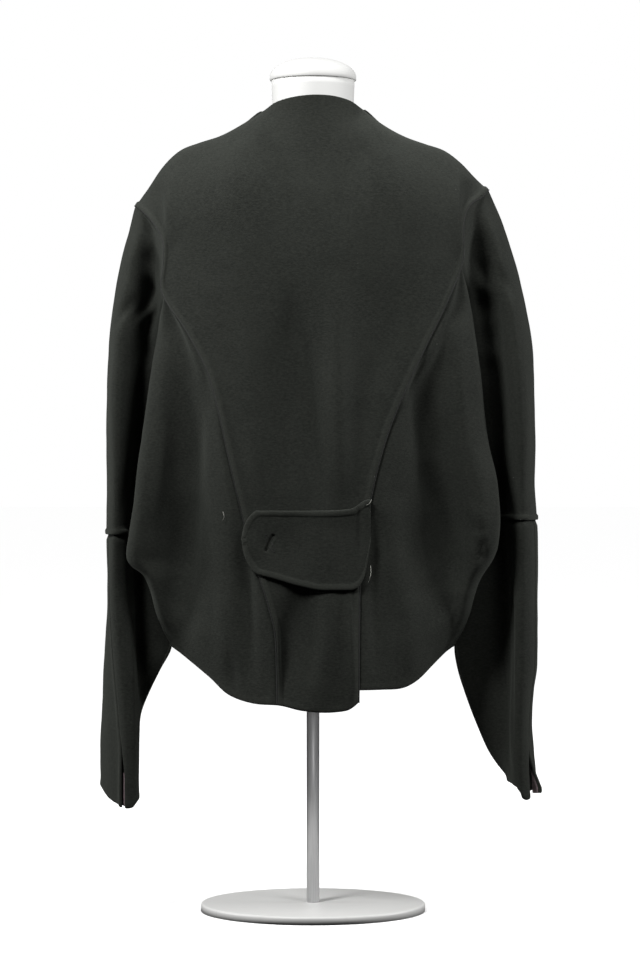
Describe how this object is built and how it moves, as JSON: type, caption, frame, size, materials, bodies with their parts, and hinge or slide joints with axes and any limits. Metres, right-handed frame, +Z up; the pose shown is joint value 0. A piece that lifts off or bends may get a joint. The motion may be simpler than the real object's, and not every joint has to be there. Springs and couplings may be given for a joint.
{
  "type": "wool jacket on a dress form",
  "caption": "Oversized collarless wool jacket with dropped shoulders, wide seamed sleeves and a half-belt tab, worn by a limbless dress form on a pole.",
  "frame": {"origin": "centre of the base's underside, on the floor under the pole", "axes": "+Z up along the pole, -Y is the way the jacket's back faces, +X is the wearer's right"},
  "size_m": [0.5503, 0.28, 1.065],
  "materials": {
    "wool": "felted double-faced wool, matte",
    "facing": "plain mauve cloth, matte",
    "form_cover": "smooth white stretch cover",
    "pole": "satin grey",
    "stand_base": "white semi-matte paint"
  },
  "bodies": {
    "root": {"back_centre": "wool", "side_back_left": "wool", "side_back_right": "wool", "sleeve_upper_left": "wool", "sleeve_upper_right": "wool", "sleeve_lower_back_left": "wool", "sleeve_lower_back_right": "wool", "sleeve_lower_front_left": "wool", "sleeve_lower_front_right": "wool", "front_left": "wool", "front_right": "wool", "back_tab": "wool", "vent_facing_left": "facing", "vent_facing_right": "facing", "form_torso": "form_cover", "form_neck_cap": "form_cover", "form_base": "stand_base", "form_pole": "pole"}
  },
  "joints": []
}
